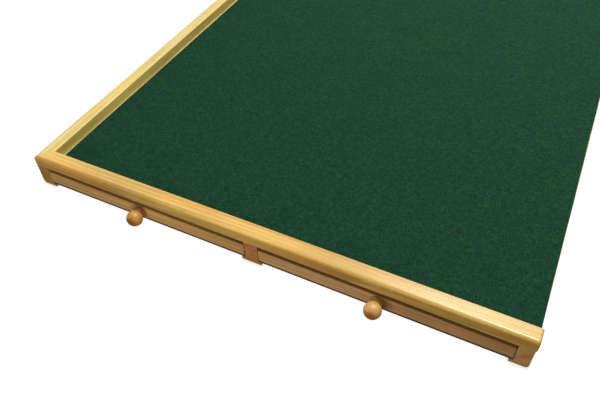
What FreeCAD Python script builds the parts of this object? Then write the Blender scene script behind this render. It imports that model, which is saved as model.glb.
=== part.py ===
"""Jigsaw puzzle table: a shallow felt tray on three drawer runners, with four drawers.

Millimetres. X runs across the front, +Y from the front to the back, +Z up.
The origin is on the ground plane, below the middle of the table.
"""

import FreeCAD, Part

import math
import os
import re

import Sketcher

# Driving dimensions, in millimetres unless the name says ratio
SIZES = {
    # table as a whole
    "width": 540,
    "length": 760,
    # moulded rails along three edges of the board
    "rail_width": 16.2,
    "rail_height": 12.6,
    "rail_round": 4.2,
    "rail_ease": 0.8,
    "rail_end_round": 2.2,
    "rail_end_reach": 1.2,
    # playing surface
    "board_thick": 5,
    "board_inset": 0.4,
    "board_setback": 12,
    "felt_thick": 1,
    "felt_rail_margin": 2.3,
    "felt_edge_margin": 0.2,
    # runners under the board
    "runner_width": 14.6,
    "runner_height": 21.8,
    "runner_round": 4,
    "flange_reach": 3.6,
    "flange_thick": 3.6,
    "flange_round": 0.8,
    # blocks that the drawers close against
    "stop_depth": 20,
    "stop_foot_gap": 4.6,
    # countersunk screws from the runners into the rails
    "screw_shank": 3.5,
    "screw_head": 7,
    "screw_bite": 7,
    "screw_point": 4,
    "screw_sink": 0.6,
    "screw_end_space": 60,
    "screw_play": 0.1,
    # drawers
    "drawer_side_play": 0.8,
    "drawer_under_play": 0.3,
    "drawer_over_gap": 1,
    "drawer_stop_play": 0.5,
    "front_thick": 12,
    "front_ease": 1,
    "lap_depth": 5,
    "side_thick": 8,
    "back_thick": 8,
    "bottom_thick": 3,
    "bottom_inset": 0.2,
    # pins that hold the drawer bottoms
    "pin_shank": 1.4,
    "pin_head": 3,
    "pin_head_height": 0.5,
    "pin_sink": 0.2,
    "pin_length": 10,
    "pin_play": 0.1,
    # turned knobs
    "knob_height_ratio": 0.63,
    "knob_ball": 17,
    "knob_standoff": 11.5,
    "knob_foot": 13,
    "knob_foot_edge": 1,
    "knob_neck": 10,
    "knob_hollow_ratio": 1,
    # pan-head screws that hold the knobs
    "knob_screw_shank": 3,
    "knob_screw_head": 6.5,
    "knob_screw_head_height": 2,
    "knob_screw_bite": 11,
    "knob_screw_point": 2.5,
    "knob_screw_play": 0.1,
    # how far cutting outlines run past the wood
    "cut_over": 5,
}

# Sizes that follow from the driving ones
DERIVED = {
    "half_width": "width / 2",
    "half_length": "length / 2",
    "open_side": "half_width - rail_end_reach",
    "board_top": "runner_height + board_thick",
    "rail_top": "board_top + rail_height",
    "board_side": "half_width - board_inset",
    "board_end": "half_length - board_setback",
    "felt_left": "-half_width + rail_width + felt_rail_margin",
    "felt_right": "open_side - felt_edge_margin",
    "felt_end": "half_length - rail_width - felt_rail_margin",
    "half_runner": "runner_width / 2",
    "bay_width": "(width - 3 * runner_width) / 2",
    "bay_centre": "(runner_width + bay_width) / 2",
    "stop_foot": "flange_thick + stop_foot_gap",
    "screw_radius": "screw_shank / 2",
    "screw_way": "screw_radius + screw_play",
    "screw_tip": "board_top + screw_bite",
    "left_screws": "half_runner - half_width",
    "right_screws": "half_width - half_runner - rail_end_reach / 2",
    "end_screws": "half_length - rail_width / 2",
    "screw_last": "half_length - screw_end_space",
    "drawer_foot": "flange_thick + drawer_under_play",
    "drawer_height": "runner_height - drawer_foot - drawer_over_gap",
    "drawer_half": "bay_width / 2 - drawer_side_play",
    "drawer_depth": "half_length - stop_depth / 2 - drawer_stop_play",
    "wall_height": "drawer_height - bottom_thick",
    "lap_start": "front_thick - lap_depth",
    "side_inner": "drawer_half - side_thick",
    "side_middle": "drawer_half - side_thick / 2",
    "pin_way": "pin_shank / 2 + pin_play",
    "pin_head_way": "pin_head / 2 + pin_play",
    "knob_height": "knob_height_ratio * drawer_height",
    "ball_radius": "knob_ball / 2",
    "neck_radius": "knob_neck / 2",
    "foot_radius": "knob_foot / 2",
    "ball_start": "knob_standoff - sqrt(ball_radius ^ 2 - neck_radius ^ 2)",
    "hollow_radius": "knob_hollow_ratio * (ball_start - knob_foot_edge)",
    "knob_screw_radius": "knob_screw_shank / 2",
    "knob_screw_way": "knob_screw_radius + knob_screw_play",
    "knob_screw_head_radius": "knob_screw_head / 2",
    "knob_screw_head_top": "front_thick + knob_screw_head_height",
}

# Where each screw goes up through a runner, as across and along
ALONG_LEFT = ["-screw_last", "-screw_last / 3", "screw_last / 3", "screw_last"]
LEFT_SCREWS = [("left_screws", along) for along in ALONG_LEFT]
CENTRE_SCREWS = [("0", "-end_screws"), ("0", "end_screws")]
RIGHT_SCREWS = [("right_screws", "-end_screws"), ("right_screws", "end_screws")]
FRONT_SCREWS = [CENTRE_SCREWS[0], RIGHT_SCREWS[0]]
BACK_SCREWS = [CENTRE_SCREWS[1], RIGHT_SCREWS[1]]
ALL_SCREWS = LEFT_SCREWS + CENTRE_SCREWS + RIGHT_SCREWS

# Where each pin goes up through a drawer's bottom, in the drawer's own frame
ALONG_SIDE = ["drawer_depth / 6", "drawer_depth / 2", "drawer_depth * 5 / 6"]
LEFT_SIDE_PINS = [("-side_middle", along) for along in ALONG_SIDE]
RIGHT_SIDE_PINS = [("side_middle", along) for along in ALONG_SIDE]
FRONT_PINS = [(across, "front_thick / 2") for across in ("-drawer_half / 2", "drawer_half / 2")]
BACK_PINS = [(across, "drawer_depth - back_thick / 2") for across in ("-drawer_half / 2", "drawer_half / 2")]
ALL_PINS = LEFT_SIDE_PINS + RIGHT_SIDE_PINS + FRONT_PINS + BACK_PINS

COUNTERSINK_ANGLE = 90
FULL_TURN = 360
HALF_TURN = 180
NAME = re.compile(r"[a-z][a-z_]*")
SAME_PLACE = 1e-4
UP = FreeCAD.Vector(0, 0, 1)

# How a sketch names its origin and the points of a line or an arc
SKETCH_ORIGIN = (-1, 1)
START, END, CENTRE = 1, 2, 3

doc = FreeCAD.newDocument("puzzle_table")
sheet = doc.addObject("Spreadsheet::Sheet", "sizes")
for row, (alias, size) in enumerate(SIZES.items(), start=1):
    sheet.set(f"A{row}", alias)
    sheet.set(f"B{row}", str(size))
    sheet.setAlias(f"B{row}", alias)
doc.recompute()


# Expressions over the sheet
def opened(text):
    """An expression with every derived name opened out into driving ones."""

    def swap(match):
        name = match.group()
        return f"({opened(DERIVED[name])})" if name in DERIVED else name

    return NAME.sub(swap, text)


def number(text):
    """The value that an expression has now."""
    return float(sheet.evalExpression(opened(text)))


def bind(target, prop, text):
    """Ties a property to an expression over the sheet's cells."""

    def swap(match):
        name = match.group()
        return f"sizes.{name}" if name in SIZES else name

    target.setExpression(prop, NAME.sub(swap, opened(text)))


def vector(across, up):
    return FreeCAD.Vector(number(across), number(up), 0)


# Sketches
def new_body(label):
    body = doc.addObject("PartDesign::Body", label)
    body.Label = label
    return body


def new_sketch(body, role, name, offset=None):
    """A sketch on one of the body's own planes, or at an offset along that plane's normal."""
    sketch = body.newObject("Sketcher::SketchObject", f"{body.Name}_{name}")
    plane = next(item for item in body.Origin.OriginFeatures if item.Role == role)
    sketch.AttachmentSupport = [(plane, "")]
    sketch.MapMode = "FlatFace"
    if offset:
        bind(sketch, "AttachmentOffset.Base.z", offset)
    return sketch


def constrain(sketch, kind, *where):
    sketch.addConstraint(Sketcher.Constraint(kind, *where))


def measure(sketch, kind, *where, text):
    """A dimension that follows an expression."""
    index = sketch.addConstraint(Sketcher.Constraint(kind, *where, number(text)))
    bind(sketch, f"Constraints[{index}]", text)


def place_point(sketch, point, across, up):
    measure(sketch, "DistanceX", *SKETCH_ORIGIN, *point, text=across)
    measure(sketch, "DistanceY", *SKETCH_ORIGIN, *point, text=up)


def add_line(sketch, start, end):
    return sketch.addGeometry(Part.LineSegment(start, end))


def add_arc(sketch, first, middle, last):
    """An arc through three points, and the sketch's names for its first and last ends."""
    arc = sketch.addGeometry(Part.Arc(first, middle, last))
    forward = sketch.getPoint(arc, START).isEqual(first, SAME_PLACE)
    return arc, (START, END) if forward else (END, START)


def draw_polygon(sketch, corners):
    """A closed outline of straight edges, with every corner at a stated place."""
    points = [vector(*corner) for corner in corners]
    lines = [add_line(sketch, start, end) for start, end in zip(points, points[1:] + points[:1])]
    for line, after, corner in zip(lines, lines[1:] + lines[:1], corners):
        constrain(sketch, "Coincident", line, END, after, START)
        place_point(sketch, (line, START), *corner)


def draw_section(sketch, corners):
    """A closed outline of level and upright edges; a corner's third value is the radius that rounds it."""
    points = [vector(*corner[:2]) for corner in corners]
    radii = [number(corner[2]) if len(corner) > 2 else 0 for corner in corners]
    count = len(corners)

    def leg(index, step):
        """From a corner to where its rounding starts on the edge before or after it."""
        along = points[(index + step) % count] - points[index]
        return along.normalize() * radii[index]

    lines = []
    for index, corner in enumerate(corners):
        after = (index + 1) % count
        line = add_line(sketch, points[index] + leg(index, 1), points[after] + leg(after, -1))
        lines.append(line)
        if abs(points[index].y - points[after].y) < SAME_PLACE:
            constrain(sketch, "Horizontal", line)
            measure(sketch, "DistanceY", *SKETCH_ORIGIN, line, START, text=corner[1])
        else:
            constrain(sketch, "Vertical", line)
            measure(sketch, "DistanceX", *SKETCH_ORIGIN, line, START, text=corner[0])
    for index, corner in enumerate(corners):
        before, after = lines[index - 1], lines[index]
        if not radii[index]:
            constrain(sketch, "Coincident", before, END, after, START)
            continue
        first = points[index] + leg(index, -1)
        last = points[index] + leg(index, 1)
        centre = first + leg(index, 1)
        middle = centre + (points[index] - centre) / math.sqrt(2)
        arc, ends = add_arc(sketch, first, middle, last)
        constrain(sketch, "Tangent", before, END, arc, ends[0])
        constrain(sketch, "Tangent", arc, ends[1], after, START)
        measure(sketch, "Radius", arc, text=corner[2])


def draw_circles(sketch, places, radius):
    for place in places:
        circle = sketch.addGeometry(Part.Circle(vector(*place), UP, number(radius)))
        measure(sketch, "Radius", circle, text=radius)
        place_point(sketch, (circle, CENTRE), *place)


# Features
def add_feature(body, kind, sketch, length=None, **settings):
    feature = body.newObject(f"PartDesign::{kind}", f"{sketch.Name}_{kind.lower()}")
    feature.Profile = sketch
    for prop, value in settings.items():
        setattr(feature, prop, value)
    if length:
        bind(feature, "Length", length)
    doc.recompute()
    return feature


def add_cut(body, kind, sketch, length=None, **settings):
    """A feature that has to take something away."""
    before = body.Shape.Volume
    feature = add_feature(body, kind, sketch, length, **settings)
    assert body.Shape.Volume < before, sketch.Name
    return feature


def cut_through(body, sketch):
    """Takes an outline out of the whole body, both ways from the sketch."""
    add_cut(body, "Pocket", sketch, Type="ThroughAll", SideType="Symmetric")


def drill_up(body, name, places, radius, reach):
    """Bores holes from the body's ground plane up to a height."""
    sketch = new_sketch(body, "XY_Plane", name)
    draw_circles(sketch, places, radius)
    add_cut(body, "Pocket", sketch, reach, Reversed=True)


def turn_about_axis(body, sketch):
    """Turns a sketched half section round its upright axis."""
    turned = body.newObject("PartDesign::Revolution", f"{body.Name}_turned")
    turned.Profile = sketch
    turned.ReferenceAxis = (sketch, ["V_Axis"])
    turned.Angle = FULL_TURN
    doc.recompute()


def ease_edges(body, name, radius, wanted):
    """Rounds the edges of the body that the test picks."""
    base = body.Tip
    names = [f"Edge{index}" for index, edge in enumerate(base.Shape.Edges, start=1) if wanted(edge)]
    feature = body.newObject("PartDesign::Fillet", f"{body.Name}_{name}")
    feature.Base = (base, names)
    bind(feature, "Radius", radius)
    doc.recompute()


def lies(edge, **planes):
    """Whether an edge is in all the stated planes, such as x=3."""
    return all(
        abs(getattr(vertex, axis.upper()) - value) < SAME_PLACE
        for axis, value in planes.items()
        for vertex in edge.Vertexes
    )


def slab(label, outline, foot, rise):
    """A flat piece: a plan of level and upright edges, raised from one height."""
    body = new_body(label)
    sketch = new_sketch(body, "XY_Plane", "plan", foot)
    draw_section(sketch, outline)
    add_feature(body, "Pad", sketch, rise)
    return body


def rectangle(left, right, near, far):
    return [(left, near), (right, near), (right, far), (left, far)]


def make_group(label, half_section, places):
    """Equal turned fasteners as one group of separate solids, each upright at its place."""
    corners = [FreeCAD.Vector(number(across), 0, number(up)) for across, up in half_section]
    outline = Part.Face(Part.makePolygon(corners + corners[:1]))
    fastener = outline.revolve(FreeCAD.Vector(), UP, FULL_TURN)
    group = doc.addObject("Part::Feature", label)
    group.Label = label
    group.Shape = Part.makeCompound([fastener.translated(vector(*place)) for place in places])
    return group


# Rails: one moulded section, mitred where two rails meet, with the round-over returned at open ends
def rail_section(outer, inward):
    """The section before its inner edge is eased: flat below, with the round-over on the outer top edge."""
    inner = f"{outer} {inward} rail_width"
    return [
        (outer, "board_top"),
        (inner, "board_top"),
        (inner, "rail_top"),
        (outer, "rail_top", "rail_round"),
    ]


def mitre_waste(end, inward, for_side_rail):
    """The triangle beyond the mitre at a left corner; the end sign is - at the front and + at the back."""
    past_inner = "rail_width + cut_over"
    outside = ("-half_width - cut_over", f"{end}half_length {end} cut_over")
    inside = (f"-half_width + {past_inner}", f"{end}half_length {inward} ({past_inner})")
    third = (inside[0], outside[1]) if for_side_rail else (outside[0], inside[1])
    return [outside, inside, third]


def make_end_rail(label, end, inward, screws):
    """The front or back rail: mitred at the left, rounded over all round its right end."""
    body = new_body(label)
    section = new_sketch(body, "YZ_Plane", "section")
    draw_section(section, rail_section(f"{end}half_length", inward))
    add_feature(body, "Pad", section, "width", SideType="Symmetric")
    mitre = new_sketch(body, "XY_Plane", "mitre")
    draw_polygon(mitre, mitre_waste(end, inward, for_side_rail=False))
    cut_through(body, mitre)

    right, top = number("half_width"), number("rail_top")
    outer = number(f"{end}half_length")
    inner = number(f"{end}half_length {inward} rail_width")
    arc_foot = number("rail_top - rail_round")

    def rounds_the_end(edge):
        """The outer edge, the round-over and the top edge of the right end."""
        above = all(vertex.Z > arc_foot - SAME_PLACE for vertex in edge.Vertexes)
        return lies(edge, x=right) and (lies(edge, y=outer) or above) and not lies(edge, y=inner)

    ease_edges(body, "end_round", "rail_end_round", rounds_the_end)
    ease_edges(body, "inner_ease", "rail_ease", lambda edge: lies(edge, y=inner, z=top))
    drill_up(body, "screw_ways", screws, "screw_way", "screw_tip + screw_play")
    return body


def make_left_rail():
    """The left rail: the same section, mitred at both ends."""
    body = new_body("left_rail")
    section = new_sketch(body, "XZ_Plane", "section")
    draw_section(section, rail_section("-half_width", "+"))
    add_feature(body, "Pad", section, "length", SideType="Symmetric")
    for end, inward, name in (("-", "+", "front_mitre"), ("+", "-", "back_mitre")):
        mitre = new_sketch(body, "XY_Plane", name)
        draw_polygon(mitre, mitre_waste(end, inward, for_side_rail=True))
        cut_through(body, mitre)
    inner, top = number("-half_width + rail_width"), number("rail_top")
    ease_edges(body, "inner_ease", "rail_ease", lambda edge: lies(edge, x=inner, z=top))
    drill_up(body, "screw_ways", LEFT_SCREWS, "screw_way", "screw_tip + screw_play")
    return body


# Playing surface: a thin board let into the runners below the rails, with felt glued on, open at the right
def make_board():
    plan = rectangle("-board_side", "open_side", "-board_end", "board_end")
    body = slab("top_board", plan, "runner_height", "board_thick")
    drill_up(body, "screw_ways", LEFT_SCREWS, "screw_way", "board_top")
    return body


def make_felt():
    plan = rectangle("felt_left", "felt_right", "-felt_end", "felt_end")
    return slab("felt_cover", plan, "board_top", "felt_thick")


# Runners: an L section at each side and an inverted T in the middle
def side_runner_section(outer, inner, inward):
    tip = f"{inner} {inward} flange_reach"
    return [
        (outer, "0", "runner_round"),
        (tip, "0", "flange_round"),
        (tip, "flange_thick", "flange_round"),
        (inner, "flange_thick"),
        (inner, "board_top"),
        (outer, "board_top"),
    ]


LEFT_RUNNER_SECTION = side_runner_section("-half_width", "-half_width + runner_width", "+")
RIGHT_RUNNER_SECTION = side_runner_section("open_side", "half_width - runner_width", "-")
CENTRE_RUNNER_SECTION = [
    ("-half_runner - flange_reach", "0", "flange_round"),
    ("half_runner + flange_reach", "0", "flange_round"),
    ("half_runner + flange_reach", "flange_thick", "flange_round"),
    ("half_runner", "flange_thick"),
    ("half_runner", "board_top"),
    ("-half_runner", "board_top"),
    ("-half_runner", "flange_thick"),
    ("-half_runner - flange_reach", "flange_thick", "flange_round"),
]


def make_runner(label, section, screws):
    """A runner the length of the table, rebated between its ends for the board, with countersunk screw ways."""
    body = new_body(label)
    sketch = new_sketch(body, "XZ_Plane", "section")
    draw_section(sketch, section)
    add_feature(body, "Pad", sketch, "length", SideType="Symmetric")
    rebate = new_sketch(body, "XY_Plane", "rebate", "runner_height")
    draw_section(rebate, rectangle("-width", "width", "-board_end", "board_end"))
    add_cut(body, "Pocket", rebate, "board_thick + cut_over", Reversed=True)
    ways = new_sketch(body, "XY_Plane", "screw_ways")
    draw_circles(ways, screws, "screw_way")
    hole = add_cut(body, "Hole", ways, ThreadType="None", DepthType="ThroughAll", Reversed=True)
    hole.HoleCutType = "Countersink"
    hole.HoleCutCustomValues = True
    hole.HoleCutCountersinkAngle = COUNTERSINK_ANGLE
    bind(hole, "Diameter", "2 * screw_way")
    bind(hole, "HoleCutDiameter", "screw_head + 2 * screw_sink + 2 * screw_play")
    doc.recompute()
    return body


def make_stop(label, left, right):
    """A block across one bay at half length, glued under the board between two runners."""
    plan = rectangle(left, right, "-stop_depth / 2", "stop_depth / 2")
    return slab(label, plan, "stop_foot", "runner_height - stop_foot")


def make_runner_screws():
    """Cone heads, shanks and points, each sunk a little into the runner's sole."""
    neck = "screw_sink + screw_head / 2 - screw_radius"
    half_section = [
        ("0", "screw_sink"),
        ("screw_head / 2", "screw_sink"),
        ("screw_radius", neck),
        ("screw_radius", "screw_tip - screw_point"),
        ("0", "screw_tip"),
    ]
    return make_group("runner_screws", half_section, ALL_SCREWS)


# Drawers: made at the origin with the face on the XZ plane, then set into a bay
def make_wall(label, plan, pins):
    """One upright of a drawer, standing on the bottom and pinned from below."""
    body = slab(label, plan, "bottom_thick", "wall_height")
    drill_up(body, "pin_ways", pins, "pin_way", "pin_length + pin_play")
    return body


def make_drawer_front(label):
    """The face, with a lap at each end for the sides and a hole for the knob's screw."""
    plan = [
        ("-drawer_half", "0"),
        ("drawer_half", "0"),
        ("drawer_half", "lap_start"),
        ("side_inner", "lap_start"),
        ("side_inner", "front_thick"),
        ("-side_inner", "front_thick"),
        ("-side_inner", "lap_start"),
        ("-drawer_half", "lap_start"),
    ]
    body = make_wall(label, plan, FRONT_PINS)
    top = number("drawer_height")
    ease_edges(body, "top_ease", "front_ease", lambda edge: lies(edge, y=0, z=top))
    hole = new_sketch(body, "XZ_Plane", "knob_hole")
    draw_circles(hole, [("0", "knob_height")], "knob_screw_way")
    cut_through(body, hole)
    return body


def make_drawer_bottom(label):
    """A thin panel under the walls, set back a little from the face, with a sunk seat for each pin head."""
    plan = rectangle("-drawer_half", "drawer_half", "bottom_inset", "drawer_depth")
    body = slab(label, plan, "0", "bottom_thick")
    drill_up(body, "pin_ways", ALL_PINS, "pin_way", "bottom_thick")
    drill_up(body, "pin_seats", ALL_PINS, "pin_head_way", "pin_sink + pin_head_height")
    return body


def make_drawer_pins(label):
    """Flat-headed pins up through the bottom into the walls."""
    head_top = "pin_sink + pin_head_height"
    half_section = [
        ("0", "pin_sink"),
        ("pin_head / 2", "pin_sink"),
        ("pin_head / 2", head_top),
        ("pin_shank / 2", head_top),
        ("pin_shank / 2", "pin_length"),
        ("0", "pin_length"),
    ]
    return make_group(label, half_section, ALL_PINS)


def make_knob(label):
    """A turned ball on a hollowed neck and a small foot, with a pilot hole for its screw."""
    body = new_body(label)
    sketch = new_sketch(body, "XY_Plane", "half_section")
    face_middle = ("0", "0")
    face_edge = ("foot_radius", "0")
    foot_edge = ("foot_radius", "-knob_foot_edge")
    tip = ("0", "-knob_standoff - ball_radius")
    spine = add_line(sketch, vector(*tip), vector(*face_middle))
    face = add_line(sketch, vector(*face_middle), vector(*face_edge))
    foot = add_line(sketch, vector(*face_edge), vector(*foot_edge))

    # neck: an arc from the foot to the ball, bowed in towards the axis
    neck_start = vector(*foot_edge)
    neck_end = vector("neck_radius", "-ball_start")
    chord = neck_end - neck_start
    bow = FreeCAD.Vector(chord.y, -chord.x, 0).normalize()
    radius = number("hollow_radius")
    depth = radius - math.sqrt(radius ** 2 - (chord.Length / 2) ** 2)
    neck_middle = (neck_start + neck_end) / 2 + bow * depth
    neck, neck_ends = add_arc(sketch, neck_start, neck_middle, neck_end)

    # ball: an arc about a point on the axis, from the neck to the tip
    ball_side = vector("ball_radius", "-knob_standoff")
    ball, ball_ends = add_arc(sketch, neck_end, ball_side, vector(*tip))

    constrain(sketch, "Coincident", spine, END, face, START)
    constrain(sketch, "Coincident", face, END, foot, START)
    constrain(sketch, "Coincident", foot, END, neck, neck_ends[0])
    constrain(sketch, "Coincident", neck, neck_ends[1], ball, ball_ends[0])
    constrain(sketch, "Coincident", ball, ball_ends[1], spine, START)
    place_point(sketch, (face, START), *face_middle)
    place_point(sketch, (foot, START), *face_edge)
    place_point(sketch, (foot, END), *foot_edge)
    place_point(sketch, (ball, CENTRE), "0", "-knob_standoff")
    measure(sketch, "Radius", ball, text="ball_radius")
    measure(sketch, "Radius", neck, text="hollow_radius")
    measure(sketch, "DistanceX", *SKETCH_ORIGIN, ball, ball_ends[0], text="neck_radius")
    measure(sketch, "DistanceX", *SKETCH_ORIGIN, spine, START, text="0")
    turn_about_axis(body, sketch)

    pilot = new_sketch(body, "XZ_Plane", "pilot")
    draw_circles(pilot, [face_middle], "knob_screw_way")
    add_cut(body, "Pocket", pilot, "knob_screw_bite + knob_screw_play", Reversed=True)
    return body


def make_knob_screw(label):
    """A pan-head screw through the drawer's face into the knob."""
    body = new_body(label)
    sketch = new_sketch(body, "XY_Plane", "half_section")
    draw_polygon(sketch, [
        ("0", "knob_screw_head_top"),
        ("knob_screw_head_radius / 2", "knob_screw_head_top"),
        ("knob_screw_head_radius", "knob_screw_head_top - knob_screw_head_height / 2"),
        ("knob_screw_head_radius", "front_thick"),
        ("knob_screw_radius", "front_thick"),
        ("knob_screw_radius", "knob_screw_point - knob_screw_bite"),
        ("0", "-knob_screw_bite"),
    ])
    turn_about_axis(body, sketch)
    return body


def set_into_bay(piece, side, end, foot):
    """Moves a piece made at the origin to its bay; drawers at the back are turned to face out."""
    turn = HALF_TURN if end == "+" else 0
    piece.Placement = FreeCAD.Placement(FreeCAD.Vector(), FreeCAD.Rotation(UP, turn))
    bind(piece, "Placement.Base.x", f"{side}bay_centre")
    bind(piece, "Placement.Base.y", f"{end}half_length")
    bind(piece, "Placement.Base.z", foot)


def make_drawer(tag, side, end):
    """One drawer: the side sign is - for the left bay, the end sign is - for the front of the table."""
    left_wall = rectangle("-drawer_half", "-side_inner", "lap_start", "drawer_depth")
    right_wall = rectangle("side_inner", "drawer_half", "lap_start", "drawer_depth")
    back_wall = rectangle("-side_inner", "side_inner", "drawer_depth - back_thick", "drawer_depth")
    box = [
        make_drawer_front(f"{tag}_drawer_front"),
        make_wall(f"{tag}_drawer_left_side", left_wall, LEFT_SIDE_PINS),
        make_wall(f"{tag}_drawer_right_side", right_wall, RIGHT_SIDE_PINS),
        make_wall(f"{tag}_drawer_back", back_wall, BACK_PINS),
        make_drawer_bottom(f"{tag}_drawer_bottom"),
        make_drawer_pins(f"{tag}_drawer_pins"),
    ]
    pull = [make_knob(f"{tag}_knob"), make_knob_screw(f"{tag}_knob_screw")]
    for piece in box:
        set_into_bay(piece, side, end, "drawer_foot")
    for piece in pull:
        set_into_bay(piece, side, end, "drawer_foot + knob_height")
    return box + pull


nodes = [
    make_end_rail("front_rail", "-", "+", FRONT_SCREWS),
    make_end_rail("back_rail", "+", "-", BACK_SCREWS),
    make_left_rail(),
    make_board(),
    make_felt(),
    make_runner("left_runner", LEFT_RUNNER_SECTION, LEFT_SCREWS),
    make_runner("centre_runner", CENTRE_RUNNER_SECTION, CENTRE_SCREWS),
    make_runner("right_runner", RIGHT_RUNNER_SECTION, RIGHT_SCREWS),
    make_stop("left_drawer_stop", "-half_runner - bay_width", "-half_runner"),
    make_stop("right_drawer_stop", "half_runner", "half_runner + bay_width"),
    make_runner_screws(),
]
for drawer_tag, drawer_side, drawer_end in (
    ("front_left", "-", "-"),
    ("front_right", "+", "-"),
    ("rear_left", "-", "+"),
    ("rear_right", "+", "+"),
):
    nodes += make_drawer(drawer_tag, drawer_side, drawer_end)
doc.recompute()

# Every object is sound before anything is written
for item in doc.Objects:
    assert not {"Invalid", "Error"} & set(item.State), (item.Label, item.State)
for node in nodes:
    assert not node.Shape.isNull() and node.Shape.isValid(), node.Label

os.makedirs("parts", exist_ok=True)
for node in nodes:
    node.Shape.exportStep(f"parts/{node.Label}.step")
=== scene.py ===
"""Jigsaw puzzle table: finishes of the wood, board and steel, the glued felt, light and camera."""

import math

import bpy
import numpy as np
from mathutils import Matrix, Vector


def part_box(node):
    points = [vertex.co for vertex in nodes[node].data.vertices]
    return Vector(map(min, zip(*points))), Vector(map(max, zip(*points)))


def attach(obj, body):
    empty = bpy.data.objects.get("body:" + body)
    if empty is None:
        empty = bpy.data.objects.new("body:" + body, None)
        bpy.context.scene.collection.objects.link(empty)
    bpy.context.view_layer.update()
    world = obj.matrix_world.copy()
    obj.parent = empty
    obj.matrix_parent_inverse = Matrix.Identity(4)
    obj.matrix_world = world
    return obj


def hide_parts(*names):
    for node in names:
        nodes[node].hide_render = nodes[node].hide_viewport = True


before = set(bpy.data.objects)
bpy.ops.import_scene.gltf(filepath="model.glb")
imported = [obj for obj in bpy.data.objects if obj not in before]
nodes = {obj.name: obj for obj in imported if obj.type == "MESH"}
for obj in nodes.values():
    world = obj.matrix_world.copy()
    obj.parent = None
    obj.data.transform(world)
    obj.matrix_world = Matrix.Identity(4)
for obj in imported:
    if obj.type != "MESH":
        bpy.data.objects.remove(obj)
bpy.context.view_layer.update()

DRAWERS = ("front_left", "front_right", "rear_left", "rear_right")
MM = 0.001


def colour(red, green, blue):
    """A colour written as 0 to 255 on a screen, as the linear values that a shader takes."""
    screen = np.array([red, green, blue]) / 255
    linear = np.where(screen <= 0.04045, screen / 12.92, ((screen + 0.055) / 1.055) ** 2.4)
    return (*linear.tolist(), 1.0)


# Shader graphs
def place(tree, kind, inputs, **settings):
    """One shader node: its settings, then each input as a value or as a link from another node."""
    node = tree.nodes.new(kind)
    for name, value in settings.items():
        setattr(node, name, value)
    for name, value in inputs.items():
        if isinstance(value, bpy.types.NodeSocket):
            tree.links.new(value, node.inputs[name])
        else:
            node.inputs[name].default_value = value
    return node


def reckon(tree, operation, *values):
    """A Math node's result."""
    return place(tree, "ShaderNodeMath", dict(enumerate(values)), operation=operation).outputs[0]


def reckon_vector(tree, operation, first, second):
    """A Vector Math node's result."""
    return place(tree, "ShaderNodeVectorMath", {0: first, 1: second}, operation=operation).outputs[0]


def stretch(tree, position, scale):
    """A position with each axis scaled, so that a noise read from it is drawn out along the smallest."""
    return reckon_vector(tree, "MULTIPLY", position, scale)


def noise(tree, position, scale, detail=2.0, roughness=0.5):
    """A cloudy noise with about as many patches to a metre as its scale says."""
    values = {"Vector": position, "Scale": scale, "Detail": detail, "Roughness": roughness}
    return place(tree, "ShaderNodeTexNoise", values)


def ramp(tree, value, low, high, to_low=0.0, to_high=1.0):
    """A smooth step of a value from one range to another."""
    values = {"Value": value, 1: low, 2: high, 3: to_low, 4: to_high}
    return place(tree, "ShaderNodeMapRange", values, interpolation_type="SMOOTHSTEP").outputs[0]


def blend(tree, share, first, second, way="MIX"):
    """Two colours mixed by a share."""
    values = {0: share, 6: first, 7: second}
    return place(tree, "ShaderNodeMix", values, data_type="RGBA", blend_type=way).outputs[2]


def new_group(name, takes, gives):
    """An empty node group with named sockets, and its input and output nodes."""
    tree = bpy.data.node_groups.new(name, "ShaderNodeTree")
    for label, kind in takes.items():
        tree.interface.new_socket(label, in_out="INPUT", socket_type=f"NodeSocket{kind}")
    for label, kind in gives.items():
        tree.interface.new_socket(label, in_out="OUTPUT", socket_type=f"NodeSocket{kind}")
    return tree, tree.nodes.new("NodeGroupInput").outputs, tree.nodes.new("NodeGroupOutput").inputs


def use_group(tree, group, inputs):
    """The outputs of a node group that is placed in a material with its own values."""
    return place(tree, "ShaderNodeGroup", inputs, node_tree=group).outputs


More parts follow.
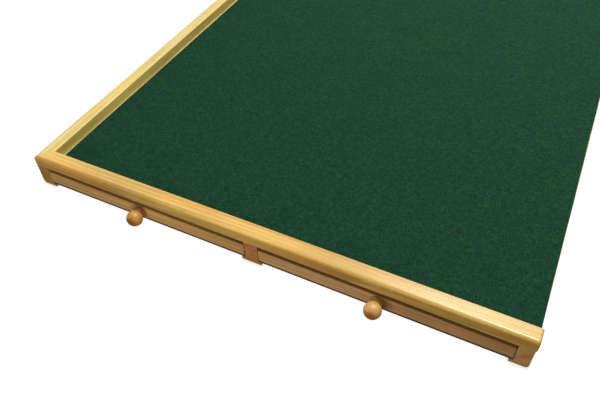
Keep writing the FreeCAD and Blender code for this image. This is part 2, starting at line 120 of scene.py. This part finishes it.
def make_pine_grain():
    """Solid pine whose grain runs along Z: growth rings about Z, some strong and some faint, each
    darkening to its late wood and pushed out of true by a slow and a quicker noise; broad resin streaks,
    fibres and short flecks, all drawn out along Z."""
    takes = {
        "Place": "Vector",
        "Ring Width": "Float",
        "Wander": "Float",
        "End": "Float",
        "End Tint": "Color",
        "Pale": "Color",
        "Late": "Color",
        "Streak": "Color",
    }
    gives = {"Color": "Color", "Height": "Float", "Roughness": "Float"}
    tree, given, out = new_group("pine_grain", takes, gives)
    spot = given["Place"]
    bent = spot
    for scale, along, share in ((16.0, 0.16, 1.0), (85.0, 0.05, 0.35)):
        cloud = noise(tree, stretch(tree, spot, (1, 1, along)), scale).outputs["Color"]
        push = reckon_vector(tree, "SUBTRACT", cloud, (0.5, 0.5, 0.5))
        reach = reckon(tree, "MULTIPLY", given["Wander"], share)
        push = place(tree, "ShaderNodeVectorMath", {0: push, "Scale": reach}, operation="SCALE")
        bent = reckon_vector(tree, "ADD", bent, push.outputs[0])
    per_ring = reckon(tree, "DIVIDE", math.pi / 10, given["Ring Width"])
    rings = place(
        tree,
        "ShaderNodeTexWave",
        {"Vector": bent, "Scale": per_ring, "Distortion": 0.0},
        wave_type="RINGS",
        rings_direction="Z",
        wave_profile="SAW",
    ).outputs["Fac"]
    strength = noise(tree, stretch(tree, bent, (1, 1, 0.02)), 70.0, 1.0).outputs["Fac"]
    late = reckon(tree, "POWER", rings, 1.8)
    late = reckon(tree, "MULTIPLY", late, ramp(tree, strength, 0.35, 0.65, 0.3, 1.0))
    streak = noise(tree, stretch(tree, bent, (1, 1, 0.035)), 120.0, 3.0, 0.55).outputs["Fac"]
    fibre = noise(tree, stretch(tree, spot, (1, 1, 0.025)), 2400.0, 2.0).outputs["Fac"]
    fleck = noise(tree, stretch(tree, spot, (1, 1, 0.05)), 950.0, 1.0).outputs["Fac"]
    fleck = ramp(tree, fleck, 0.66, 0.74)
    tone = blend(tree, reckon(tree, "MULTIPLY", late, 0.85), given["Pale"], given["Late"])
    tone = blend(tree, ramp(tree, streak, 0.42, 0.66, 0.0, 0.85), tone, given["Streak"])
    tone = blend(tree, reckon(tree, "MULTIPLY", fleck, 0.35), tone, given["Late"])
    slow = noise(tree, stretch(tree, spot, (0.5, 0.5, 0.3)), 22.0).outputs["Fac"]
    fine = ramp(tree, fibre, 0.2, 0.8, 0.9, 1.06)
    broad = ramp(tree, slow, 0.3, 0.7, 0.78, 1.08)
    shade = reckon(tree, "MULTIPLY", fine, broad)
    grey = place(tree, "ShaderNodeCombineXYZ", {0: shade, 1: shade, 2: shade}).outputs[0]
    tone = blend(tree, 1.0, tone, grey, "MULTIPLY")
    tree.links.new(blend(tree, given["End"], tone, given["End Tint"], "MULTIPLY"), out["Color"])
    hollow = reckon(tree, "MULTIPLY_ADD", fleck, -0.8, reckon(tree, "MULTIPLY", fibre, 0.6))
    tree.links.new(reckon(tree, "MULTIPLY_ADD", late, 0.25, hollow), out["Height"])
    gloss = ramp(tree, fibre, 0.2, 0.8, 0.36, 0.46)
    tree.links.new(reckon(tree, "MULTIPLY_ADD", given["End"], 0.22, gloss), out["Roughness"])
    return tree


def make_fibre_mat():
    """Matted fibres in a plane: three drawn-out noises a third of a turn apart, the highest on top."""
    takes = {"Place": "Vector", "Size": "Float"}
    tree, given, out = new_group("fibre_mat", takes, {"Tone": "Float", "Height": "Float"})
    scale = reckon(tree, "DIVIDE", 1.0, given["Size"])
    layers = []
    for turn in (0.3, 0.3 + math.pi / 3, 0.3 + 2 * math.pi / 3):
        values = {"Vector": given["Place"], "Rotation": (0, 0, turn)}
        turned = place(tree, "ShaderNodeMapping", values).outputs[0]
        layers.append(noise(tree, stretch(tree, turned, (0.12, 1, 1)), scale, 2.0).outputs["Fac"])
    top = reckon(tree, "MAXIMUM", reckon(tree, "MAXIMUM", layers[0], layers[1]), layers[2])
    tree.links.new(ramp(tree, top, 0.42, 0.78), out["Tone"])
    tree.links.new(top, out["Height"])
    return tree


def make_mottle():
    """Slow uneven patches, from 0 to 1."""
    tree, given, out = new_group("mottle", {"Place": "Vector", "Size": "Float"}, {"Tone": "Float"})
    scale = reckon(tree, "DIVIDE", 1.0, given["Size"])
    cloud = noise(tree, given["Place"], scale, 4.0, 0.6).outputs["Fac"]
    tree.links.new(ramp(tree, cloud, 0.3, 0.7), out["Tone"])
    return tree


PINE_GRAIN = make_pine_grain()
FIBRE_MAT = make_fibre_mat()
MOTTLE = make_mottle()


def new_finish(name, **constants):
    """A material with its Principled shader, and the object's own coordinates and normal."""
    material = bpy.data.materials.new(name)
    material.use_nodes = True
    tree = material.node_tree
    shader = tree.nodes["Principled BSDF"]
    for socket, value in constants.items():
        shader.inputs[socket].default_value = value
    return material, tree, shader, tree.nodes.new("ShaderNodeTexCoord").outputs


def upward(tree, coords):
    """How far a face looks up: 1 for a level top, 0 for an upright side, -1 for an underside."""
    return place(tree, "ShaderNodeSeparateXYZ", {0: coords["Normal"]}).outputs[2]


def raise_grain(tree, shader, height, depth):
    """A bump of a depth in metres from a height of 0 to 1."""
    bump = place(tree, "ShaderNodeBump", {"Strength": 1.0, "Distance": depth, "Height": height})
    tree.links.new(bump.outputs[0], shader.inputs["Normal"])


# Turns that bring each grain direction to Z, with the grain a little out of line with the piece
LEAN = 0.03
GRAIN_ALONG = {
    "X": ((0, LEAN - math.pi / 2, 0), (1, 0, 0)),
    "Y": ((math.pi / 2 + LEAN, 0, 0), (0, 1, 0)),
}

# Tints that darken sawn end grain and a turned knob's end grain, and painted shade for a rail's upright
# sides
END_TINT = (0.8, 0.68, 0.56, 1)
KNOB_END_TINT = (0.6, 0.36, 0.24, 1)
SIDE_PAINTED_SHADE = (0.87, 0.86, 0.73, 1)

# Roughness of the lacquer, and depth of the grain under it
LACQUER_DULL = 0.26
GRAIN_DEPTH = 0.06 * MM


def pine(
    name,
    along,
    heart,
    tints,
    ring=4.6 * MM,
    wander=12 * MM,
    dull=LACQUER_DULL,
    end_tint=END_TINT,
    painted_side_shade=None,
    lines=None,
):
    """Lacquered pine with its grain along X or Y; heart is where the tree's middle was, across the grain.
    The lacquer lies thicker on level faces, and the upright sides may be darkened with painted shade.
    Lines is the spacing of the marks that a lathe leaves."""
    settings = {"Coat Roughness": dull, "Specular IOR Level": 0.04}
    material, tree, shader, coords = new_finish(name, **settings)
    turn, axis = GRAIN_ALONG[along]
    values = {"Vector": coords["Object"], "Rotation": turn, "Location": heart}
    spot = place(tree, "ShaderNodeMapping", values).outputs[0]
    facing = place(tree, "ShaderNodeVectorMath", {0: coords["Normal"], 1: axis}, operation="DOT_PRODUCT")
    end = ramp(tree, reckon(tree, "ABSOLUTE", facing.outputs["Value"]), 0.55, 0.95)
    values = {"Place": spot, "Ring Width": ring, "Wander": wander, "End": end, "End Tint": end_tint}
    grain = use_group(tree, PINE_GRAIN, values | tints)
    up = upward(tree, coords)
    tone = grain["Color"]
    # Painted shade: upright sides are darkened as if the light reached them less
    if painted_side_shade:
        tone = blend(tree, ramp(tree, up, 0.2, 0.7, 1.0, 0.0), tone, painted_side_shade, "MULTIPLY")
    tree.links.new(tone, shader.inputs["Base Color"])
    tree.links.new(grain["Roughness"], shader.inputs["Roughness"])
    tree.links.new(ramp(tree, up, 0.72, 0.97), shader.inputs["Coat Weight"])
    height = grain["Height"]
    if lines:
        values = {"Vector": spot, "Scale": math.pi / 10 / lines}
        bands = place(tree, "ShaderNodeTexWave", values, wave_type="BANDS", bands_direction="Z")
        height = reckon(tree, "MULTIPLY_ADD", bands.outputs["Fac"], 0.5, height)
    raise_grain(tree, shader, height, GRAIN_DEPTH)
    return material


def dress(node, material):
    """Gives a CAD node's object its finish."""
    slots = nodes[node].data.materials
    slots.clear()
    slots.append(material)


# Pine pieces: each is sawn from another place in a tree
HONEY = dict(Pale=colour(250, 208, 112), Late=colour(198, 122, 40), Streak=colour(232, 160, 62))
STRAW = dict(Pale=colour(252, 230, 142), Late=colour(218, 174, 84), Streak=colour(238, 202, 108))
BISCUIT = dict(Pale=colour(252, 204, 124), Late=colour(202, 138, 70), Streak=colour(230, 170, 94))
ROSY = dict(Pale=colour(238, 187, 124), Late=colour(190, 126, 70), Streak=colour(217, 156, 94))
CARAMEL = dict(Pale=colour(240, 186, 100), Late=colour(180, 106, 40), Streak=colour(218, 150, 68))
RUSSET = dict(Pale=colour(254, 206, 130), Late=colour(196, 118, 56), Streak=colour(234, 160, 88))

dress("front_rail", pine("front_rail_pine", "X", (0.031, 0.415, 0.13), HONEY))
dress("back_rail", pine("back_rail_pine", "X", (0.052, -0.338, 0.4), HONEY))
# The left rail's upright sides get painted shade
dress("left_rail", pine("left_rail_pine", "Y", (0.292, 0.071, 0.37), STRAW, painted_side_shade=SIDE_PAINTED_SHADE))

# Runners: where the tree's middle was, the width of a ring, and the end grain's tint
RUNNERS = {
    "left": ((0.262, 0.03, 0.0), 2.6 * MM, (0.9, 0.8, 0.62, 1)),
    "centre": ((0.016, 0.034, 0.1), 3 * MM, (0.67, 0.52, 0.46, 1)),
    "right": ((-0.288, 0.026, 0.2), 2.8 * MM, (0.86, 0.76, 0.78, 1)),
}
for side, (heart, ring, tint) in RUNNERS.items():
    finish = pine(f"{side}_runner_pine", "Y", heart, RUSSET, ring=ring, wander=4 * MM, end_tint=tint)
    dress(f"{side}_runner", finish)
dress("left_drawer_stop", pine("left_stop_pine", "X", (0.04, 0.03, 0.0), BISCUIT))
dress("right_drawer_stop", pine("right_stop_pine", "X", (0.03, -0.035, 0.1), BISCUIT))

# Drawers: the pieces of each one are sawn a little further on in the tree than those before it
DRAWER_MIDDLE = 0.131
for index, tag in enumerate(DRAWERS):
    end = 1 if tag.startswith("front") else -1
    side = -1 if tag.endswith("left") else 1
    middle = side * DRAWER_MIDDLE
    shift = 0.013 * index
    face = (0.046 + shift, end * (0.402 - 0.4 * shift), 0.3 * index)
    back = (0.038 - shift, end * (0.034 + shift), 0.2 * index)
    left = (0.152 - middle - shift, 0.041 + shift, 0.2 * index)
    right = (shift - middle - 0.149, 0.037 - shift, 0.1 * index)
    tints = BISCUIT if side == -end else ROSY
    dress(f"{tag}_drawer_front", pine(f"{tag}_face_pine", "X", face, tints))
    dress(f"{tag}_drawer_back", pine(f"{tag}_back_pine", "X", back, BISCUIT))
    dress(f"{tag}_drawer_left_side", pine(f"{tag}_left_pine", "Y", left, BISCUIT))
    dress(f"{tag}_drawer_right_side", pine(f"{tag}_right_pine", "Y", right, BISCUIT))


def turned_pine(name, heart, tints):
    """A knob turned from pine: dark where its end grain took more stain, with the tool's fine rings."""
    fine = dict(ring=2.2 * MM, wander=3 * MM, lines=0.45 * MM)
    return pine(name, "Y", heart, tints, dull=0.42, end_tint=KNOB_END_TINT, **fine)


for tag in DRAWERS:
    low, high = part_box(f"{tag}_knob")
    middle = (low + high) / 2
    heart = (4 * MM - middle.x, middle.z + 3 * MM, 0.0)
    tints = CARAMEL if tag.endswith("left") else BISCUIT
    dress(f"{tag}_knob", turned_pine(f"{tag}_knob_pine", heart, tints))


# Boards
def plywood(name, foot, top):
    """Thin plywood: pale veneer on both faces, and at its edges a dark core under the top veneer."""
    material, tree, shader, coords = new_finish(name, **{"Specular IOR Level": 0.3})
    spot = coords["Object"]
    values = {"Ring Width": 9 * MM, "Wander": 30 * MM, "End": 0.0}
    tints = dict(Pale=colour(206, 188, 132), Late=colour(184, 158, 100), Streak=colour(194, 170, 112))
    turned = place(tree, "ShaderNodeMapping", {"Vector": spot, "Rotation": GRAIN_ALONG["Y"][0]})
    veneer = use_group(tree, PINE_GRAIN, values | {"Place": turned.outputs[0]} | tints)
    axes = place(tree, "ShaderNodeSeparateXYZ", {0: spot}).outputs
    height = place(tree, "ShaderNodeMapRange", {"Value": axes[2], 1: foot, 2: top}).outputs[0]
    core = ramp(tree, height, 0.82, 0.88, 1.0, 0.0)
    mat = use_group(tree, FIBRE_MAT, {"Place": spot, "Size": 0.5 * MM})
    share = reckon(tree, "MULTIPLY", mat["Tone"], 0.5)
    dark = blend(tree, share, colour(106, 68, 28), colour(72, 44, 18))
    edge = blend(tree, core, colour(226, 172, 92), dark)
    flat = ramp(tree, reckon(tree, "ABSOLUTE", upward(tree, coords)), 0.5, 0.8)
    tree.links.new(blend(tree, flat, edge, veneer["Color"]), shader.inputs["Base Color"])
    shader.inputs["Roughness"].default_value = 0.6
    raise_grain(tree, shader, veneer["Height"], 0.05 * MM)
    return material


def hardboard(name):
    """Pressed fibre, smooth and dark, with paler fibres lying in it, and painted shade that darkens its
    edges.
    """
    material, tree, shader, coords = new_finish(name, **{"Specular IOR Level": 0.1})
    mat = use_group(tree, FIBRE_MAT, {"Place": coords["Object"], "Size": 0.7 * MM})
    patch = use_group(tree, MOTTLE, {"Place": coords["Object"], "Size": 45 * MM})
    tone = blend(tree, patch["Tone"], colour(106, 72, 42), colour(124, 86, 52))
    tone = blend(tree, reckon(tree, "MULTIPLY", mat["Tone"], 0.5), tone, colour(150, 108, 66))
    # Painted shade: the edges are darkened to stand in for the shadow under a drawer's bottom
    edge = ramp(tree, reckon(tree, "ABSOLUTE", upward(tree, coords)), 0.2, 0.6, 1.0, 0.0)
    tone = blend(tree, edge, tone, (0.4, 0.34, 0.28, 1), "MULTIPLY")
    tree.links.new(tone, shader.inputs["Base Color"])
    tree.links.new(ramp(tree, patch["Tone"], 0.0, 1.0, 0.42, 0.55), shader.inputs["Roughness"])
    raise_grain(tree, shader, mat["Height"], 0.04 * MM)
    return material


low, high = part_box("top_board")
dress("top_board", plywood("board_plywood", low.z, high.z))
BOTTOM_HARDBOARD = hardboard("bottom_hardboard")
for tag in DRAWERS:
    dress(f"{tag}_drawer_bottom", BOTTOM_HARDBOARD)


def zinc_steel(name):
    """Zinc-plated steel: grey, a little cloudy, brighter where it is smooth."""
    material, tree, shader, coords = new_finish(name, Metallic=1.0)
    patch = use_group(tree, MOTTLE, {"Place": coords["Object"], "Size": 1.5 * MM})
    tone = blend(tree, patch["Tone"], colour(196, 196, 192), colour(222, 221, 214))
    tree.links.new(tone, shader.inputs["Base Color"])
    tree.links.new(ramp(tree, patch["Tone"], 0.0, 1.0, 0.42, 0.28), shader.inputs["Roughness"])
    return material


ZINC = zinc_steel("zinc_steel")
dress("runner_screws", ZINC)
for tag in DRAWERS:
    dress(f"{tag}_drawer_pins", ZINC)
    dress(f"{tag}_knob_screw", ZINC)


# Felt
def felt_finish(name):
    """Dense dark green felt: short matted fibres, slow shading from handling, and a soft sheen."""
    sheen = {"Sheen Weight": 0.1, "Sheen Roughness": 0.4, "Sheen Tint": colour(150, 176, 158)}
    material, tree, shader, coords = new_finish(name, **sheen, **{"Specular IOR Level": 0.12})
    mat = use_group(tree, FIBRE_MAT, {"Place": coords["Object"], "Size": 0.9 * MM})
    patch = use_group(tree, MOTTLE, {"Place": coords["Object"], "Size": 30 * MM})
    hue = use_group(tree, MOTTLE, {"Place": coords["Object"], "Size": 2.4 * MM})
    tone = blend(tree, mat["Tone"], colour(0, 28, 15), colour(32, 91, 58))
    tone = blend(tree, 0.35, tone, blend(tree, hue["Tone"], colour(2, 53, 49), colour(40, 58, 26)))
    tone = blend(tree, reckon(tree, "MULTIPLY", patch["Tone"], 0.35), tone, colour(12, 48, 34))
    tree.links.new(tone, shader.inputs["Base Color"])
    tree.links.new(ramp(tree, mat["Tone"], 0.0, 1.0, 0.98, 0.86), shader.inputs["Roughness"])
    raise_grain(tree, shader, mat["Height"], 0.25 * MM)
    return material


def lay_felt():
    """The felt as one closed sheet over its board. Across and along are two parameters on a grid whose
    lines crowd at the edges. Height above the board is the thickness times a quarter ellipse of the
    distance to the nearest edge, with slow ripples of a few hundredths of a millimetre. The sides
    wander by a fifth of a millimetre, and the open side leans in a little towards the back."""
    low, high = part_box("felt_cover")
    soft = 0.8 * MM
    border = 4 * MM
    near = soft * np.array([0, 0.04, 0.15, 0.35, 0.65, 1.0])
    inner_x = np.linspace(low.x + border, high.x - border, 130)
    inner_y = np.linspace(low.y + border, high.y - border, 180)
    xs = np.concatenate([low.x + near, inner_x, high.x - near[::-1]])
    ys = np.concatenate([low.y + near, inner_y, high.y - near[::-1]])
    x, y = np.meshgrid(xs, ys, indexing="ij")
    to_edge = np.minimum(np.minimum(x - low.x, high.x - x), np.minimum(y - low.y, high.y - y))
    inward = 1 - np.clip(to_edge / soft, 0, 1)
    thick = high.z - low.z
    ripple = np.sin(x * 97 + 2 * np.sin(y * 41)) * np.sin(y * 83 + 1.7 * np.sin(x * 37))
    z = low.z + thick * np.sqrt(1 - inward ** 2) * (1 + 0.05 * ripple * (1 - inward))
    share = (x - low.x) / (high.x - low.x)
    back = (y - low.y) / (high.y - low.y)
    lean = 0.8 * MM * np.clip(back, 0, 1)
    wander = 0.2 * MM * np.sin(y * 23) * np.sin(y * 61 + 1)
    x = x + share ** 8 * (wander - lean) + (1 - share) ** 8 * 0.7 * wander
    y = y + 0.15 * MM * np.sin(x * 31) * np.sin(x * 71) * (2 * back - 1) ** 9
    across, along = x.shape
    points = np.stack([x, y, z], axis=-1).reshape(-1, 3)
    index = np.arange(across * along).reshape(across, along)
    quads = np.stack([index[:-1, :-1], index[1:, :-1], index[1:, 1:], index[:-1, 1:]], axis=-1)
    rim = np.concatenate([index[:, 0], index[-1, 1:], index[-2::-1, -1], index[0, -2:0:-1]])
    mesh = bpy.data.meshes.new("felt_sheet")
    mesh.from_pydata(points, [], quads.reshape(-1, 4).tolist() + [rim[::-1].tolist()])
    mesh.polygons.foreach_set("use_smooth", np.arange(len(mesh.polygons)) < quads.size // 4)
    mesh.update()
    mesh.materials.append(felt_finish("green_felt"))
    felt = bpy.data.objects.new("felt_sheet", mesh)
    bpy.context.scene.collection.objects.link(felt)
    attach(felt, "table")
    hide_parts("felt_cover")


lay_felt()


# Room: white floor with a painted contact shadow and a faint real shadow, two lamps above, and a low weak
# one before the table
def camera_side(tree):
    """1 for what the camera sees straight, in a reflection or through glass, and 0 for other light."""
    path = tree.nodes.new("ShaderNodeLightPath").outputs
    seen = reckon(tree, "MAXIMUM", path["Is Camera Ray"], path["Is Glossy Ray"])
    return reckon(tree, "MAXIMUM", seen, path["Is Transmission Ray"])


def make_floor():
    """A floor that the camera sees white, greyer close to the table with a painted contact shadow, and
    that throws little light back.
    """
    half = 5.0
    reach = 4 * MM
    bounce = (0.06, 0.06, 0.06, 1)
    painted_shadow_level = 0.45
    lightest = 1.07
    glow_share = 0.93
    mesh = bpy.data.meshes.new("floor")
    corners = [(-half, -half, 0), (half, -half, 0), (half, half, 0), (-half, half, 0)]
    mesh.from_pydata(corners, [], [(0, 1, 2, 3)])
    floor = bpy.data.objects.new("floor", mesh)
    bpy.context.scene.collection.objects.link(floor)
    material = bpy.data.materials.new("white_floor")
    material.use_nodes = True
    tree = material.node_tree
    tree.nodes.remove(tree.nodes["Principled BSDF"])
    grey = place(tree, "ShaderNodeBsdfDiffuse", {"Color": bounce}).outputs[0]
    white = place(tree, "ShaderNodeBsdfDiffuse", {"Color": (1, 1, 1, 1)}).outputs[0]
    # Painted shadow: an occlusion node turns the floor's glow down close to the table
    painted_shadow_ao = place(tree, "ShaderNodeAmbientOcclusion", {"Distance": reach}).outputs["AO"]
    level = place(tree, "ShaderNodeMapRange", {"Value": painted_shadow_ao, 3: painted_shadow_level, 4: lightest}).outputs[0]
    glow = place(tree, "ShaderNodeEmission", {"Color": (1, 1, 1, 1), "Strength": level}).outputs[0]
    pale = place(tree, "ShaderNodeMixShader", {0: glow_share, 1: white, 2: glow}).outputs[0]
    whole = place(tree, "ShaderNodeMixShader", {0: camera_side(tree), 1: grey, 2: pale}).outputs[0]
    tree.links.new(whole, tree.nodes["Material Output"].inputs["Surface"])
    mesh.materials.append(material)


def make_world(ambient):
    """A room that is white to the camera and gives a weak even light."""
    world = bpy.data.worlds.new("white_room")
    bpy.context.scene.world = world
    world.use_nodes = True
    tree = world.node_tree
    level = reckon(tree, "MULTIPLY_ADD", camera_side(tree), 1 - ambient, ambient)
    back = tree.nodes["Background"]
    back.inputs["Color"].default_value = (1, 1, 1, 1)
    tree.links.new(level, back.inputs["Strength"])


def add_lamp(name, at, tilt, across, along, power):
    """A rectangular lamp that shines straight down, or tilted up from there towards +Y."""
    lamp = bpy.data.lights.new(name, "AREA")
    lamp.shape = "RECTANGLE"
    lamp.size = across
    lamp.size_y = along
    lamp.energy = power
    holder = bpy.data.objects.new(name, lamp)
    bpy.context.scene.collection.objects.link(holder)
    holder.location = at
    holder.rotation_euler = (tilt, 0, 0)


# The photograph's camera, solved from its straight edges; angles in degrees
LENS_MM = 36.486
SENSOR_MM = 36
EYE = (0.21899, -0.68806, 0.47637)
TURN_LEFT = 27.842
LOOK_DOWN = 46.182
ROLL = -2.14


def add_camera():
    """A camera at the eye, rolled about its own axis, tilted down from level and turned to the left."""
    lens = bpy.data.cameras.new("camera")
    lens.lens = LENS_MM
    lens.sensor_width = SENSOR_MM
    camera = bpy.data.objects.new("camera", lens)
    bpy.context.scene.collection.objects.link(camera)
    turn = Matrix.Rotation(math.radians(TURN_LEFT), 4, "Z")
    tilt = Matrix.Rotation(math.radians(90 - LOOK_DOWN), 4, "X")
    roll = Matrix.Rotation(math.radians(ROLL), 4, "Z")
    camera.matrix_world = Matrix.Translation(EYE) @ turn @ tilt @ roll
    bpy.context.scene.camera = camera


CEILING = 1.75
make_floor()
make_world(ambient=0.18)
add_lamp("overhead", (0.42, 0.12, CEILING), tilt=0, across=0.3, along=0.3, power=17)
add_lamp("behind", (0.12, 0.45, CEILING), tilt=0, across=0.5, along=1.1, power=18)
add_lamp("before", (-0.02, -0.8, 0.05), tilt=math.pi / 2, across=0.3, along=0.1, power=0.6)
add_camera()
bpy.context.scene.view_settings.view_transform = "Standard"
